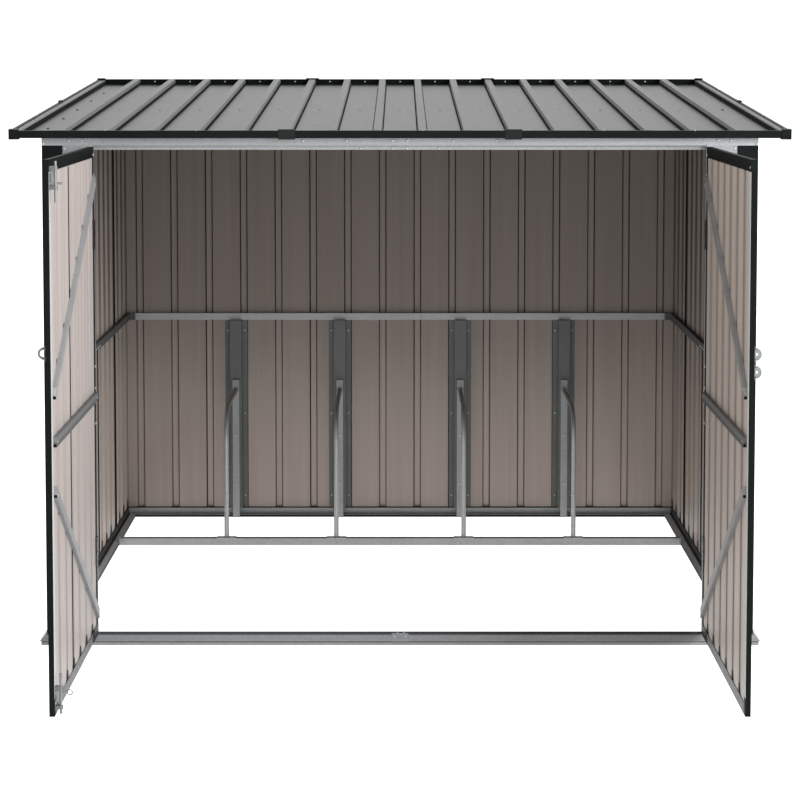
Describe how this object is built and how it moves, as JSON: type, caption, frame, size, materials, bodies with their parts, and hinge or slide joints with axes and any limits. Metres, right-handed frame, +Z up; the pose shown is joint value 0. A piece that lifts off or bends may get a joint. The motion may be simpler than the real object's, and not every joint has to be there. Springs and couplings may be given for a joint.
{
  "type": "bike shelter",
  "caption": "Lean-to metal bike shelter with ribbed sheet walls and roof, hinged double doors with sliding bolts, and wheel racks inside.",
  "frame": {"origin": "middle of the front sill's ground face, in the plane of the doorway, at ground level", "axes": "+Y from the doorway to the back wall, +Z up, +X to the right seen from the front"},
  "size_m": [2.1732, 2.8324, 1.5837],
  "materials": {
    "galvanised": "satin spangled zinc",
    "dark_coat": "satin anthracite coat",
    "wall_coat": "satin backing coat",
    "roof_coat": "satin grey coat",
    "hinge_black": "satin black",
    "zinc_plate": "bright zinc"
  },
  "bodies": {
    "frame": {"front_sill": "galvanised", "back_base_rail": "galvanised", "left_base_rail": "galvanised", "right_base_rail": "galvanised", "door_jambs": "galvanised", "header": "galvanised", "mid_rails": "galvanised", "top_rails": "galvanised", "roof_purlin": "galvanised", "rack_rail": "galvanised", "outer_left_hoop": "galvanised", "inner_left_hoop": "galvanised", "inner_right_hoop": "galvanised", "outer_right_hoop": "galvanised", "rack_uprights": "galvanised", "rack_wall_posts": "galvanised", "front_corner_posts": "dark_coat", "back_corner_posts": "dark_coat", "front_roof_trim": "dark_coat", "back_roof_trim": "dark_coat", "left_roof_trim": "dark_coat", "right_roof_trim": "dark_coat", "roof_corner_caps": "dark_coat", "roof_trim_joiners": "dark_coat", "left_wall": "wall_coat", "right_wall": "wall_coat", "back_wall": "wall_coat", "left_roof_sheet": "roof_coat", "middle_roof_sheet": "roof_coat", "right_roof_sheet": "roof_coat", "hinge_brackets": "hinge_black"},
    "left_door": {"left_door_frame": "dark_coat", "left_door_bottom_rail": "galvanised", "left_door_panel": "wall_coat", "left_door_braces": "galvanised", "left_door_hinge_leaves": "hinge_black", "left_door_eye": "zinc_plate", "left_door_bolt_guides": "zinc_plate"},
    "right_door": {"right_door_frame": "dark_coat", "right_door_bottom_rail": "galvanised", "right_door_panel": "wall_coat", "right_door_braces": "galvanised", "right_door_hinge_leaves": "hinge_black", "right_door_eyes": "zinc_plate"},
    "top_bolt": {"left_door_top_bolt": "zinc_plate"},
    "bottom_bolt": {"left_door_bottom_bolt": "zinc_plate"}
  },
  "joints": [
    {"name": "left_door_hinge", "type": "hinge", "parent": "frame", "child": "left_door", "pos_m": [-0.86, -0.01975, 0], "axis": [0, 0, 1], "range_deg": [-90, 90]},
    {"name": "right_door_hinge", "type": "hinge", "parent": "frame", "child": "right_door", "pos_m": [0.86, -0.01975, 0], "axis": [0, 0, -1], "range_deg": [-90, 90]},
    {"name": "top_bolt_slide", "type": "slide", "parent": "left_door", "child": "top_bolt", "axis": [0, 0, 1], "range_m": [0, 0.022]},
    {"name": "bottom_bolt_slide", "type": "slide", "parent": "left_door", "child": "bottom_bolt", "axis": [0, 0, -1], "range_m": [0, 0.025]}
  ]
}
